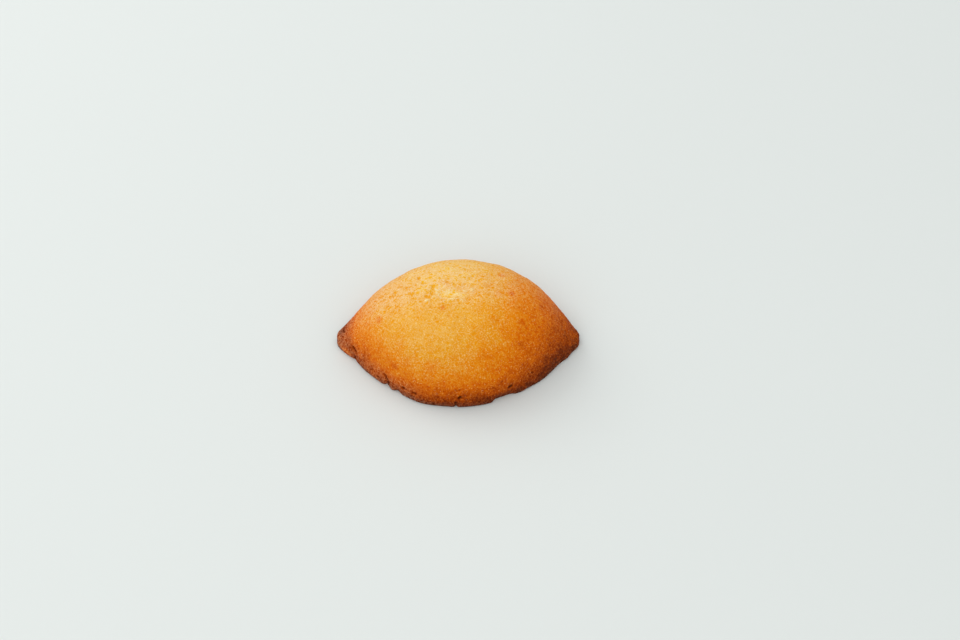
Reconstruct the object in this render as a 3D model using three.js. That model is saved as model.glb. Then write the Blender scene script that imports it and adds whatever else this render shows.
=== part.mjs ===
// A small lemon cake: one soft sponge, baked in a mould shaped like half a lemon and
// turned out onto its flat side. It is uncut, so it is solid right through.
//
// Millimetres, +Z up. X runs from tip to tip and -Y is the front.
// The origin is the middle of the flat side, which lies on Z = 0.

import * as THREE from 'three';
import { ParametricGeometry } from 'three/addons/geometries/ParametricGeometry.js';
import { mergeVertices } from 'three/addons/utils/BufferGeometryUtils.js';

// Driving dimensions of the mould's hollow
const LENGTH = 80.8;
const WIDTH = 54.8;
const HEIGHT = 25.4;

// How the outline and the ridge fall away from the middle to the tips: a higher power
// keeps them full for longer, a higher bend pulls them in straighter, and lean moves the
// fullest place along X, as a share of the half length.
const OUTLINE = { power: 2.01, bend: 0.917, lean: -0.01 };
const RIDGE = { power: 2.79, bend: 0.912, lean: -0.072 };

// A section across the cake is half a superellipse: 2 is an ellipse, more has fuller
// shoulders. Where the side meets the flat underside the edge is rounded, by no more than
// a share of the section's own width or height near the tips.
const SECTION_POWER = 2.15;
const RIM_RADIUS = 0.8;
const MOST_ROUNDED = 0.3;

// Each end is a blunt nub: the last stretch before the tip, its height, and how square it
// ends in plan and from the side. A shallow neck sets it off from the body, which swells
// a little behind the neck.
const NUB = { reach: 4.3, height: 4.5, plan: 2.5, rise: 0.2 };
const NECK = { at: 32.7, half: 1.2, depth: 0.15 };
const SHOULDER = { at: 26.5, half: 4, depth: -0.23 };
const BLEND_POWER = 3;

// Marks along the rim. at is the place along X, half the half width, depth how far the
// side goes in (a swelling is negative), and rise how high the mark reaches. They fade
// towards the ridge, and where the cake is narrower than twice MARKS_FADE_UNDER.
const MARKS_FADE_UNDER = 2;
const FRONT_MARKS = [
  { at: -34.6, half: 1.9, depth: 0.75, rise: 6.5 },
  { at: -34.1, half: 0.5, depth: 0.55, rise: 4.5 },
  { at: -23.3, half: 0.8, depth: 1.1, rise: 3 },
  { at: -21.7, half: 0.6, depth: -0.3, rise: 2.5 },
  { at: -19.6, half: 0.9, depth: 0.95, rise: 2.5 },
  { at: -13.2, half: 5.2, depth: -0.8, rise: 9 },
  { at: -0.6, half: 0.5, depth: 0.8, rise: 1.8 },
  { at: 21.2, half: 1.2, depth: -0.25, rise: 4 },
  { at: 28.4, half: 4.2, depth: -0.5, rise: 7 },
  { at: 36.2, half: 1, depth: -0.25, rise: 4 },
];
const BACK_MARKS = [
  { at: -35.0, half: 0.9, depth: 0.4, rise: 6 },
  { at: -27.5, half: 0.9, depth: 0.6, rise: 2.5 },
  { at: -15.0, half: 4.2, depth: -0.45, rise: 8 },
  { at: -4.2, half: 0.6, depth: 0.75, rise: 2 },
  { at: 9.5, half: 4.8, depth: 0.35, rise: 5 },
  { at: 18.6, half: 0.8, depth: 0.9, rise: 2.8 },
  { at: 28.4, half: 3.6, depth: -0.4, rise: 7 },
  { at: 34.6, half: 0.8, depth: 0.45, rise: 5 },
];

// A strip of the rim that stayed in the mould, from and to along X, with a sharp and a
// soft end.
const FRONT_CHIP = { from: 11.7, sharp: 0.5, to: 18.2, soft: 1, depth: 1.25, rise: 3 };

// On top the skin stuck to the mould and left a shallow hollow.
const PEEL = { x: -3, y: 0.3, halfX: 8.5, halfY: 3.2, depth: 0.35 };

// A sponge never fills its mould quite evenly: a few long waves, each a small share of
// the distance from the middle line. The longest fits fewest + 1 times into the length,
// and turn shifts each one along from the last, in radians.
const WAVES = { count: 6, share: 0.0013, turn: 2.4, fewest: 2.5 };

// How finely the surface is divided, along X, over the dome, round each edge and across
// each half of the flat side.
const STATIONS = 104;
const DOME_STEPS = 30;
const EDGE_STEPS = 2;
const FLAT_STEPS = 3;
const SMALLEST_GAP = 0.001;

// Steps over the dome crowd towards the rim. Along X they crowd at the tips, and at the
// sharp marks by pull, over spread times a mark's half width.
const DOME_CROWDING = 0.62;
const CROWDING = { samples: 4000, beyondTip: 1.002, pull: 1.3, spread: 1.6, sharpUnder: 1 };

const HALF_LENGTH = LENGTH / 2;
const bell = (t) => Math.exp(-t * t);
const step = (t) => 0.5 * (1 + Math.tanh(t));
const blend = (a, b) => (a ** BLEND_POWER + b ** BLEND_POWER) ** (1 / BLEND_POWER);

// 1 at the middle and 0 at the tips, with the fullest place moved by lean.
function fullness(x, { power, bend, lean }) {
  const u = x / HALF_LENGTH;
  const place = Math.abs(u + lean * (1 - u * u));
  return Math.max(0, 1 - place ** power) ** bend;
}

// 1 along the body, closing to 0 over the nub.
function nose(x) {
  const past = Math.max(0, Math.abs(x) - (HALF_LENGTH - NUB.reach)) / NUB.reach;
  return Math.max(0, 1 - past ** NUB.plan) ** (1 / NUB.plan);
}

function necking(x) {
  const ring = ({ at, half, depth }) => depth * bell((Math.abs(x) - at) / half);
  return ring(NECK) + ring(SHOULDER);
}

function halfWidth(x) {
  const body = blend((WIDTH / 2) * fullness(x, OUTLINE), NUB.reach);
  return (body - necking(x)) * nose(x);
}

function ridgeHeight(x) {
  const body = blend(HEIGHT * fullness(x, RIDGE), NUB.height);
  return body * nose(x) ** NUB.rise - necking(x) * nose(x);
}

function edgeRadius(x) {
  return Math.min(RIM_RADIUS, MOST_ROUNDED * Math.min(halfWidth(x), ridgeHeight(x)));
}

// The waves' sum, where each one also goes 1, 2 or 3 half turns over the dome.
function waviness(x, angle) {
  let sum = 0;
  for (let k = 1; k <= WAVES.count; k++) {
    const along = ((WAVES.fewest + k) * x) / LENGTH;
    const around = 1 + (k % 3);
    sum += Math.sin(2 * Math.PI * along + k * WAVES.turn) * Math.cos(around * angle + k);
  }
  return WAVES.share * sum * nose(x);
}

// How far a side is dented inwards at a place along X and a height.
function dent(marks, chip, x, z) {
  let depth = 0;
  for (const mark of marks) {
    depth += mark.depth * bell((x - mark.at) / mark.half) * bell(z / mark.rise);
  }
  if (chip) {
    const length = step((x - chip.from) / chip.sharp) * step((chip.to - x) / chip.soft);
    depth += chip.depth * length * bell(z / chip.rise);
  }
  return depth;
}

// A point of the dome. angle goes from 0 at the front edge, over the ridge, to PI at the
// back edge.
function domePoint(x, angle) {
  const edge = edgeRadius(x);
  const full = 1 + waviness(x, angle);
  const across = Math.cos(angle);
  const power = 2 / SECTION_POWER;
  const width = halfWidth(x) * full;
  let y = -width * Math.sign(across) * Math.abs(across) ** power;
  let z = edge + (ridgeHeight(x) - edge) * full * Math.sin(angle) ** power;

  const outward = Math.abs(y) / Math.max(width, SMALLEST_GAP);
  const hold = outward ** 2 * Math.min(1, width / MARKS_FADE_UNDER);
  if (y < 0) y += dent(FRONT_MARKS, FRONT_CHIP, x, z) * hold;
  else y -= dent(BACK_MARKS, null, x, z) * hold;

  z -= PEEL.depth * bell((x - PEEL.x) / PEEL.halfX) * bell((y - PEEL.y) / PEEL.halfY);
  return { y, z };
}

// Going round a section: the flat side's front half, the front edge, the dome, the back
// edge and the flat side's back half. Each entry says which stretch it is on and how far
// along it.
function sectionPlan() {
  const plan = [];
  for (let i = 0; i < FLAT_STEPS; i++) plan.push({ on: 'flat', side: 0, at: i / FLAT_STEPS });
  for (let i = 0; i < EDGE_STEPS; i++) plan.push({ on: 'edge', side: 0, at: i / EDGE_STEPS });
  for (let i = 0; i <= DOME_STEPS; i++) plan.push({ on: 'dome', at: i / DOME_STEPS });
  for (let i = EDGE_STEPS - 1; i >= 0; i--) plan.push({ on: 'edge', side: 1, at: i / EDGE_STEPS });
  for (let i = FLAT_STEPS - 1; i >= 0; i--) plan.push({ on: 'flat', side: 1, at: i / FLAT_STEPS });
  return plan;
}

// The angle of a step over the dome, closer together near the rim, where the marks are.
function domeAngle(share) {
  return Math.PI * share - (DOME_CROWDING * Math.sin(2 * Math.PI * share)) / 2;
}

// A point on one stretch of a section, with side 0 at the front and 1 at the back.
function sectionPoint(x, { on, side, at }) {
  if (on === 'dome') return domePoint(x, domeAngle(at));
  const foot = domePoint(x, side * Math.PI).y;
  const edge = edgeRadius(x);
  const inner = foot - Math.sign(foot) * edge;
  if (on === 'flat') return { y: inner * at, z: 0 };
  const turn = (at * Math.PI) / 2;
  return { y: inner + Math.sign(foot) * edge * Math.sin(turn), z: edge * (1 - Math.cos(turn)) };
}

// How much detail there is at a place along X: most at the tips and at the sharp marks.
function detail(x) {
  const sharp = [...FRONT_MARKS, ...BACK_MARKS].filter((mark) => mark.half < CROWDING.sharpUnder);
  sharp.push({ at: FRONT_CHIP.from, half: FRONT_CHIP.sharp });
  const tip = 1 / Math.sqrt(CROWDING.beyondTip - (x / HALF_LENGTH) ** 2);
  const pull = (mark) => CROWDING.pull * bell((x - mark.at) / (CROWDING.spread * mark.half));
  return sharp.reduce((sum, mark) => sum + pull(mark), tip);
}

// Places along X, by equal steps of the running total of detail.
function stationPlaces() {
  const { samples } = CROWDING;
  const totals = [0];
  for (let i = 0; i < samples; i++) {
    totals.push(totals[i] + detail(LENGTH * ((i + 0.5) / samples - 0.5)));
  }
  const places = [];
  let i = 0;
  for (let n = 0; n <= STATIONS; n++) {
    const wanted = (totals[samples] * n) / STATIONS;
    while (i < samples - 1 && totals[i + 1] < wanted) i++;
    const within = (wanted - totals[i]) / (totals[i + 1] - totals[i]);
    places.push(LENGTH * ((i + within) / samples - 0.5));
  }
  return places;
}

// Leaves out the triangles that closed up to a line where a section shrinks to a point.
function withoutEmptyTriangles(geometry) {
  const index = [];
  const old = geometry.index.array;
  for (let i = 0; i < old.length; i += 3) {
    const [a, b, c] = old.slice(i, i + 3);
    if (a !== b && b !== c && c !== a) index.push(a, b, c);
  }
  geometry.setIndex(index);
  return geometry;
}

function cakeGeometry() {
  const places = stationPlaces();
  const plan = sectionPlan();
  const around = plan.length;
  const surface = (u, v, target) => {
    const x = places[Math.min(STATIONS, Math.max(0, Math.round(u * STATIONS)))];
    const n = Math.round(v * around) % around;
    const { y, z } = sectionPoint(x, plan[(n + around) % around]);
    target.set(x, y, z);
  };
  const lofted = new ParametricGeometry(surface, STATIONS, around);
  lofted.deleteAttribute('normal');
  lofted.deleteAttribute('uv');
  const closed = withoutEmptyTriangles(mergeVertices(lofted, SMALLEST_GAP));
  closed.computeVertexNormals();
  return closed;
}

function bakedSponge() {
  return new THREE.MeshStandardMaterial({ color: 0xe09a3c, roughness: 0.75, metalness: 0 });
}

function lemonCake() {
  const cake = new THREE.Mesh(cakeGeometry(), bakedSponge());
  cake.name = 'lemon_cake';
  return cake;
}

const part = new THREE.Group();
part.add(lemonCake());

export default part;
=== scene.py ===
"""The looks of a small lemon cake: one soft sponge, baked in a mould shaped like half a lemon.

X runs from tip to tip, -Y is the front, +Z is up and the flat side lies on the floor.
The surface is worked out in millimetres and made in metres.
"""

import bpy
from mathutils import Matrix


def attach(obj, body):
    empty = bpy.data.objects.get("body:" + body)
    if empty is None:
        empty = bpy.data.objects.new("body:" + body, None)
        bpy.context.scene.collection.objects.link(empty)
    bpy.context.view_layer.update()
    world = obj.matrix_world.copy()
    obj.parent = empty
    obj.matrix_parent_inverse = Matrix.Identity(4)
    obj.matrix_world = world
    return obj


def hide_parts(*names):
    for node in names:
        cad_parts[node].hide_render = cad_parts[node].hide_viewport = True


bl_info = {
    "name": "Lemon cake",
    "version": (1, 0, 0),
    "blender": (4, 5, 0),
    "location": "3D View > Sidebar > Lemon cake",
    "description": "A half-lemon sponge cake with its baked skin, and a pale studio round it",
    "category": "Add Mesh",
}

import itertools
import math
from collections import namedtuple

import bpy
import numpy as np
from mathutils import Matrix, Vector

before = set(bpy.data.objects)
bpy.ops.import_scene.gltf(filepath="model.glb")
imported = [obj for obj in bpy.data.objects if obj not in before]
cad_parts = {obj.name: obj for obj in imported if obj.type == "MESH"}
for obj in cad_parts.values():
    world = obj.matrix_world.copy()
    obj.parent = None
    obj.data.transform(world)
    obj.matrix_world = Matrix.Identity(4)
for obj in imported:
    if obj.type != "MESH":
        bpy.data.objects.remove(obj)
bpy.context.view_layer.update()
SOLID = "lemon_cake"
BODY = "root"
MM = 0.001
# Stands in for a length of zero where a length divides.
TINY = 1e-9

# How the outline and the ridge fall away from the middle to the tips: a higher power keeps
# them full for longer, a higher bend pulls them in straighter, and lean moves the fullest
# place along X, as a share of the half length.
OUTLINE = {"power": 2.01, "bend": 0.917, "lean": -0.01}
RIDGE = {"power": 2.79, "bend": 0.912, "lean": -0.072}

# A section across the cake is half a superellipse with a rounded edge at the flat side.
SECTION_POWER = 2.15
MOST_ROUNDED = 0.3

# The blunt nub at each end, the shallow neck behind it and the swelling behind that.
NUB_PLAN, NUB_RISE = 2.5, 0.2
NECK = {"at": 32.7, "half": 1.2, "depth": 0.15}
SHOULDER = {"at": 26.5, "half": 4.0, "depth": -0.23}
BLEND_POWER = 3

# Marks along the rim, each as its place along X, half width, how far the side goes in (a
# swelling is negative) and how high it reaches. They fade where half the width of the cake is
# under a limit.
MARKS_FADE_UNDER = 2
FRONT_MARKS = [
    (-34.6, 1.9, 0.75, 6.5),
    (-34.1, 0.5, 0.55, 4.5),
    (-23.3, 0.8, 1.1, 3),
    (-21.7, 0.6, -0.3, 2.5),
    (-19.6, 0.9, 0.95, 2.5),
    (-13.2, 5.2, -0.8, 9),
    (-0.6, 0.45, 0.8, 1.6),
    (21.2, 1.2, -0.25, 4),
    (28.4, 4.2, -0.5, 7),
    (36.2, 1, -0.25, 4),
]
BACK_MARKS = [
    (-35, 0.9, 0.4, 6),
    (-27.5, 0.9, 0.6, 2.5),
    (-15, 4.2, -0.45, 8),
    (-4.2, 0.6, 0.75, 2),
    (9.5, 4.8, 0.35, 5),
    (18.6, 0.8, 0.9, 2.8),
    (28.4, 3.6, -0.4, 7),
    (34.6, 0.8, 0.45, 5),
]
FRONT_CHIP = {"start": 11.7, "sharp": 0.5, "end": 18.2, "soft": 1, "depth": 1.25, "rise": 3}

# The shallow hollow on top where the skin came away, and the long waves over the whole form.
PEEL_HOLLOW = {"x": -3, "y": 0.3, "half_x": 8.5, "half_y": 3.2, "depth": 0.35}
WAVES = {"count": 6, "share": 0.0013, "turn": 2.4, "fewest": 2.5}

# How finely the surface is divided: along the body and round each nub, over the dome,
# round each edge and across each half of the flat side.
BODY_STEPS, NUB_STEPS = 262, 20
DOME_STEPS, EDGE_STEPS, FLAT_STEPS = 288, 3, 4

# Grooves and ridges that can be told apart, each as its path, half width and depth, which is
# negative for a ridge. A path runs through places on the dome, given as X and the angle round
# the section: 0 is the front edge, 90 the ridge, 180 the back edge.
GROOVES = [
    # the crevice behind the left nub, and shallow hollows above it
    ([(-34.9, 34), (-34.3, 29), (-33.9, 26)], 0.65, 0.5),
    ([(-36, 56), (-35.6, 46)], 0.55, 0.07),
    ([(-36.9, 88), (-36.6, 76)], 0.45, 0.07),
    ([(-34, 8), (-34.2, 1)], 0.35, 0.3),
    # the line round the left nub, above and behind
    ([(-37.8, 88), (-38.1, 104), (-38, 130)], 0.45, 0.28),
    ([(-34.9, 100), (-34.7, 125), (-34.8, 150)], 0.55, 0.12),
    # the fold beside the crevice that runs down to the rim
    ([(-32.6, 33), (-31.2, 25), (-29.6, 17), (-28.4, 12)], 0.5, 0.06),
    ([(-31, 19), (-30.6, 16)], 0.4, 0.15),
    # the crack in the front rim at the left, and the pits along that rim
    ([(-24, 14), (-23.4, 9.5), (-22.9, 5), (-22.8, 1)], 0.38, 0.6),
    ([(-26.5, 5.2), (-26, 5)], 0.36, 0.3),
    ([(-28.3, 11.2), (-28.1, 10)], 0.35, 0.25),
    ([(-17.9, 8.6), (-17.6, 8.2)], 0.36, 0.8),
    ([(-14.8, 7.2), (-13.8, 7)], 0.38, 0.65),
    ([(-10.6, 28.5), (-10.4, 25.5)], 0.3, 0.12),
    # the hole, the notch under it and the slits at the middle of the front rim
    ([(0.8, 9.2), (0.5, 8.4)], 0.43, 1),
    ([(-0.6, 4), (-0.8, 2.8)], 0.3, 0.4),
    ([(-0.6, 15.5), (0.9, 16.3)], 0.34, 0.42),
    ([(-4.6, 6), (-4.1, 5)], 0.3, 0.3),
    ([(1.9, 8), (1.6, 5), (1.5, 3.5)], 0.4, -0.2),
    # pits at the right of the front rim
    ([(16.9, 9.6), (17.5, 9.9)], 0.42, 0.85),
    ([(14.2, 17.5), (14.5, 17.6)], 0.3, 0.35),
    ([(11.5, 13.7), (12.1, 13.4)], 0.4, 0.25),
    ([(9.5, 14.6), (9.7, 14.2)], 0.35, 0.3),
    ([(24.3, 15.2), (24.6, 15.3)], 0.3, 0.4),
    ([(23.1, 15.8), (23.3, 15.7)], 0.28, 0.3),
    # the neck of the right nub
    ([(35.3, 72), (36, 58), (36.4, 48)], 0.45, 0.12),
    ([(36.9, 48), (37.3, 38), (37, 31)], 0.35, -0.15),
    # pocks on top, left of the peeled band
    ([(-13.1, 110.6), (-12.9, 109)], 0.5, 0.6),
    ([(-11.9, 102.2), (-11, 101.8)], 0.4, 0.45),
    ([(-8.1, 98), (-7.9, 94.5)], 0.55, 0.55),
    ([(-8.5, 92.2), (-8.3, 91)], 0.42, 0.42),
    ([(-4.7, 94.2), (-4.4, 93.4)], 0.32, 0.5),
    ([(-10.5, 90.1), (-9.3, 89)], 0.6, 0.45),
    ([(-9, 87.2), (-8.4, 86.8)], 0.35, 0.4),
    # pits on top and on the front of the dome
    ([(-11.7, 85.5), (-11.5, 84.7)], 0.42, 0.34),
    ([(-8.6, 81.3), (-8.3, 80.9)], 0.38, 0.31),
    ([(-3.1, 74.3), (-2.8, 73.5)], 0.32, 0.29),
    ([(-7.1, 71.9), (-6.8, 71.1)], 0.35, 0.31),
    ([(2.5, 72), (2.8, 71.5)], 0.36, 0.29),
    ([(3.6, 88.4), (3.7, 87.2)], 0.3, 0.25),
    ([(6.1, 106.3), (6.3, 106)], 0.34, 0.28),
    ([(8.1, 106.2), (8.4, 106)], 0.34, 0.3),
    ([(6.9, 100.6), (7.3, 100.4)], 0.34, 0.28),
    ([(7.2, 89.6), (7.4, 89.1)], 0.34, 0.3),
    ([(9.9, 96.4), (10.5, 96.1)], 0.36, 0.3),
    ([(-3.6, 100.3), (-3.1, 100.1)], 0.36, 0.3),
    ([(-1.9, 99.8), (-1.2, 99)], 0.36, 0.23),
    ([(4.6, 106.2), (5, 106)], 0.36, 0.23),
    ([(2.1, 98), (2.5, 97.7)], 0.36, 0.23),
    ([(4.9, 98), (5.3, 97.8)], 0.36, 0.23),
    ([(15.1, 65.6), (16.5, 68.4)], 0.26, 0.16),
    ([(22.3, 62.2), (23.3, 65.6)], 0.28, 0.18),
    ([(25.2, 91), (25.5, 88)], 0.28, 0.18),
    ([(25.1, 84), (25.4, 83)], 0.3, 0.2),
    # slits that lie along X on the upper left
    ([(-19.4, 106.8), (-18.4, 106.5)], 0.38, 0.42),
    ([(-17, 102.4), (-15.9, 101.9)], 0.38, 0.4),
    ([(-16.2, 94.8), (-14.6, 93.8), (-12.9, 92.6)], 0.32, 0.38),
    ([(-21, 102.4), (-20.2, 101.8)], 0.4, 0.4),
    ([(-22.3, 99), (-21.3, 98.4), (-20.6, 98)], 0.34, 0.4),
    ([(-25.4, 98.4), (-24.2, 97.6)], 0.36, 0.35),
    ([(-23.9, 89.3), (-22.7, 88.6)], 0.36, 0.35),
    # the crease below the peeled band
    ([(-4.8, 81.4), (-3.8, 82.5), (-2.8, 82.5), (-1.8, 80.9)], 0.3, 0.3),
    # lifted flakes along the edge of the peeled band and inside it
    ([(-10.4, 86.3), (-9.9, 87.1)], 0.36, -0.26),
    ([(-9.6, 86.6), (-9, 87.6)], 0.34, -0.24),
    ([(-8.3, 88.1), (-7.7, 89.2)], 0.34, -0.25),
    ([(-7, 92.2), (-6.6, 91), (-6.2, 90.2)], 0.36, -0.35),
    ([(-7.6, 94.9), (-7.2, 93.9)], 0.34, -0.3),
    ([(-4.6, 94.1), (-4.3, 92.4)], 0.32, -0.38),
    ([(-3.2, 92.9), (-2.8, 91.7)], 0.34, -0.25),
    ([(-4.1, 87.8), (-3.6, 87)], 0.32, -0.22),
    ([(-2.9, 86.2), (-2.2, 87.1), (-1.6, 86.4)], 0.34, -0.34),
    ([(-1.2, 87.3), (-0.6, 86.8)], 0.3, -0.3),
    ([(1.1, 85.9), (1.6, 84.9)], 0.32, -0.22),
    ([(2.4, 85.3), (2.6, 84)], 0.3, -0.2),
    ([(-0.9, 89.8), (-0.1, 90.5)], 0.45, -0.26),
    ([(0.5, 89.3), (1, 89.7)], 0.32, -0.22),
    ([(2, 92.4), (2.8, 92)], 0.28, -0.25),
    ([(4.3, 93.5), (4.7, 92.8)], 0.38, -0.45),
]

# Smooth random unevenness, each ripple as its amount, wavelength in millimetres and seed. The
# seeds of the swellings count from the crumb's own.
SWELLINGS = [(0.03, 5.5, 4), (0.02, 2.8, 5)]
RIM_SWELLINGS = [(0.09, 1.6, 6)]
PEEL_EDGE = [(0.5, 2.4, 71), (0.25, 1.1, 72)]
FOLD_SWAY = [(0.5, 6, 81), (0.25, 2.4, 82)]
PATCHY_BROWNING = [(0.01, 9, 93), (0.012, 3.6, 94)]
PATCHY_RIM = [(0.02, 3.2, 95), (0.02, 1.2, 97)]
# The patchiness of the painted sheen, a pale veil for the reflection of the light.
PATCHY_PAINTED_SHEEN = [(1, 1.9, 96)]
# How the grooves wander sideways, and how a wave's length strays from its wavelength.
WANDER = {"amount": 0.07, "length": 1.6, "waves": 16, "seeds": (61, 62, 63)}
WAVE_SPREAD = (0.8, 1.25)

# What a whole-numbered cell is mixed with to draw its random numbers, and how many bits of
# the result are kept.
CELL_PRIMES = (73856093, 19349663, 83492791)
MIX_FACTOR, MIX_TERM = 6364136223846793005, 1442695040888963407
KEPT_BITS = 24

# Below, a pair of places, in millimetres, is where a smooth rise starts and ends: along X at
# the right, along -X at the left, along Y behind and along Z above. With "band" in its name it
# is the middle and the half width of a bell, along Z or the axis named.

# The relief of the baked crumb, its pits in two sizes, the small pores, the fine folds at the
# ends, and the heights between which the flakes turn pale.
CRUMB_FIELD = {"worm_half": 0.55, "worm_mean": 0.45, "worms": 1.5, "finer": 0.3, "finer_length": 0.58}
RELIEF = {
    "rim_band": (0, 2.6),
    "rim_rougher": 0.7,
    "peel_rougher": 0.8,
    "peel_depth": 0.1,
    "folds": 0.05,
    "groove_as_hollow": 0.26,
    "hollow_limits": (-1, 2.2),
}
PitSize = namedtuple("PitSize", "spacing radius share depth hollow stretch seed")
PIT_SIZES = [
    PitSize(1.3, 1.0, 0.5, 0.12, 1.0, (1.4, 1, 1), 2),
    PitSize(2.3, 1.35, 0.3, 0.22, 1.3, (1.3, 1, 1), 3),
]
# A pit's size is its radius times the least share plus up to the spread. The pick turns the
# same random number into one that says whether the pit is there.
PIT_LEAST, PIT_SPREAD, PIT_PICK = 0.7, 0.6, 7.31
PORES = {"everywhere": 0.08, "above": 0.75, "less_at_right": 0.5, "low": 0.35, "right_end": 0.35}
PORE_PLACES = {
    "above": (13, 22),
    "behind": (-9, -2),
    "right": (-6, 14),
    "low_band": (3.5, 4),
    "right_end": (20, 30),
}
FOLDS = {"spacing": 1.25, "right": (24, 33), "left": (28, 34), "left_share": 0.4}
FLAKES_ABOVE = (8, 14)

# The pale band on top where the skin came away.
PEEL_BAND = {
    "x": -1.0,
    "y": -0.1,
    "slant": -0.08,
    "half_x": 5.8,
    "half_y": 2.1,
    "ragged": 0.22,
    "ragged_half": 8,
    "edge": (0.3, 0.85),
}

# How the browning goes over the cake, from 0, pale crumb, to 1, nearly black.
BROWNING = {
    "at_floor": 1.035,
    "high_up": -0.165,
    "fall": 18.5,
    "left_rim": 0.09,
    "right_end": 0.95,
    "right_nub": 0.13,
    # Less browning behind: painted sheen of the light from behind.
    "back": 0.285,
    "left_nub": 0.1,
    "left_crest": 0.07,
    "peel": 0.1,
    "folds": 0.02,
    # Browner in pits and hollows: painted shade.
    "painted_pit_shade_above": 0.04,
    "painted_pit_shade_low": 0.08,
}
BROWNING_PLACES = {
    "left_rim": (8, 22),
    "left_rim_band": (0, 4.5),
    "right_end": (-13, 71),
    "right_nub": (33, 39),
    "back": (-11, 35),
    "left_nub": (33.5, 37),
    "left_crest_behind": (-2, 3),
    "left_crest_band_x": (-35, 4),
    "patchy_rim_band": (0, 4),
    "painted_pit_shade_band": (0, 10),
}
# Painted sheen on top and behind: a pale veil that stands in for the reflection of the light and
# takes the colour out of the skin. Each "off" is the share of it that is missing at a place. Its
# right edge leans by the slant, in X for each Y.
PAINTED_SHEEN = {
    "left": 0.36,
    "right": 0.24,
    "right_end": 0.09,
    "crown": 0.13,
    "front": 0.045,
    "front_left": 0.08,
    "left_tip": 0.06,
    "rim": 0.16,
    "patchy": 0.12,
    "patchy_rim": 0.25,
    "off_left_end": 0.45,
    "off_back": 0.5,
    "off_rim_right": 0.7,
    "off_peel": 0.3,
}
PAINTED_SHEEN_SLANT = 0.5
PAINTED_SHEEN_PLACES = {
    "right": (-2, 12),
    "off_left_end": (25, 32),
    "slanted_right": (9, 29),
    "behind": (-8.5, 3),
    "above": (3, 14),
    "off_back": (14, 24),
    "front_to_left": (-12, 14),
    "front_above": (7, 16),
    "front_left": (8, 20),
    "front_left_band": (4.5, 3.5),
    "crown_band_x": (-5.5, 4),
    "crown_band_y": (3, 4),
    "right_end": (20, 29),
    "right_end_behind": (-9, 9),
    "right_tip": (31, 36),
    "left_tip": (35.5, 39),
    "off_rim_right": (-12, 12),
    "rim_band": (0, 1.6),
    "patchy_band": (0, 2),
}

# Where each colour of the skin lies on the browning scale.
COLOUR_PLACES = {
    0.0: "crumb",
    0.14: "straw",
    0.27: "golden",
    0.42: "honey",
    0.58: "amber",
    0.74: "caramel",
    0.88: "brown",
    1.0: "char",
}
# The skin's fine patterns: the size of each noise's lumps in millimetres, and its detail.
NOISES = {"thread": (0.95, 0.5), "fine": (0.45, 1.0), "mottle": (1.5, 1.0), "blotch": (3.5, 2.0)}
# How much each pattern takes off the browning, and its mean, at which it takes off nothing.
LESS_BROWN = {
    "fine": (0.045, 0.5),
    "blotch": (0.1, 0.5),
    "mottle": (0.09, 0.25),
    "thread": (0.08, 0.06),
    "between": (-0.04, 0.15),
}
# Where a pattern or the browning starts and ends to count, and what it then goes from and to,
# which is from 0 to 1 if it isn't given.
RANGES = {
    "thread": (0.05, 0.0),
    "between": (0.03, 0.12),
    "broken": (0.38, 0.58),
    "pore": (0.34, 0.22),
    "dark": (0.22, 0.58),
    "cover": (0.3, 0.7, 0.6, 1.4),
    "off_rim": (0.92, 0.66, 0.3, 1.0),
    "painted_glint": (0.61, 0.71),
    "flake": (0.35, 0.62, 0.3, 1.2),
    "gloss": (0.3, 0.7, 0.6, 0.45),
}
# Pores, threads and bump in millimetres or as a stretch, how far gaps deepen the colour as painted
# shade, and how far threads, specks and flakes of crumb go towards their pale colour, the specks
# being painted glints.
GRAIN = {
    "thread_stretch": 1.8,
    "pore": 1.25,
    "pore_stretch": 1.3,
    "painted_pore_shade": 0.03,
    "gap_between": 0.75,
    "gap_pore": 1.0,
    "gap_hollow": 0.6,
    "thread_on_light": 0.3,
    "thread_on_dark": 0.17,
    "painted_glint": 0.27,
    "painted_glint_rarer": 0.03,
    "flake": 0.8,
    "bump": 0.03,
    "pore_bump": 0.7,
}
# Typical values of dry crumb, with little gloss, its sheen being painted into the colour instead, and
# of matt paint.
SPONGE_IOR, SPONGE_SPECULAR = 1.45, 0.03
BOARD_ROUGHNESS = 0.85
# The directions in which the threads of crumb lie, as turns about X, Y and Z.
THREAD_TURNS = [(0.5, 0.3, 0.0), (0.9, 1.5, 2.1)]
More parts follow.
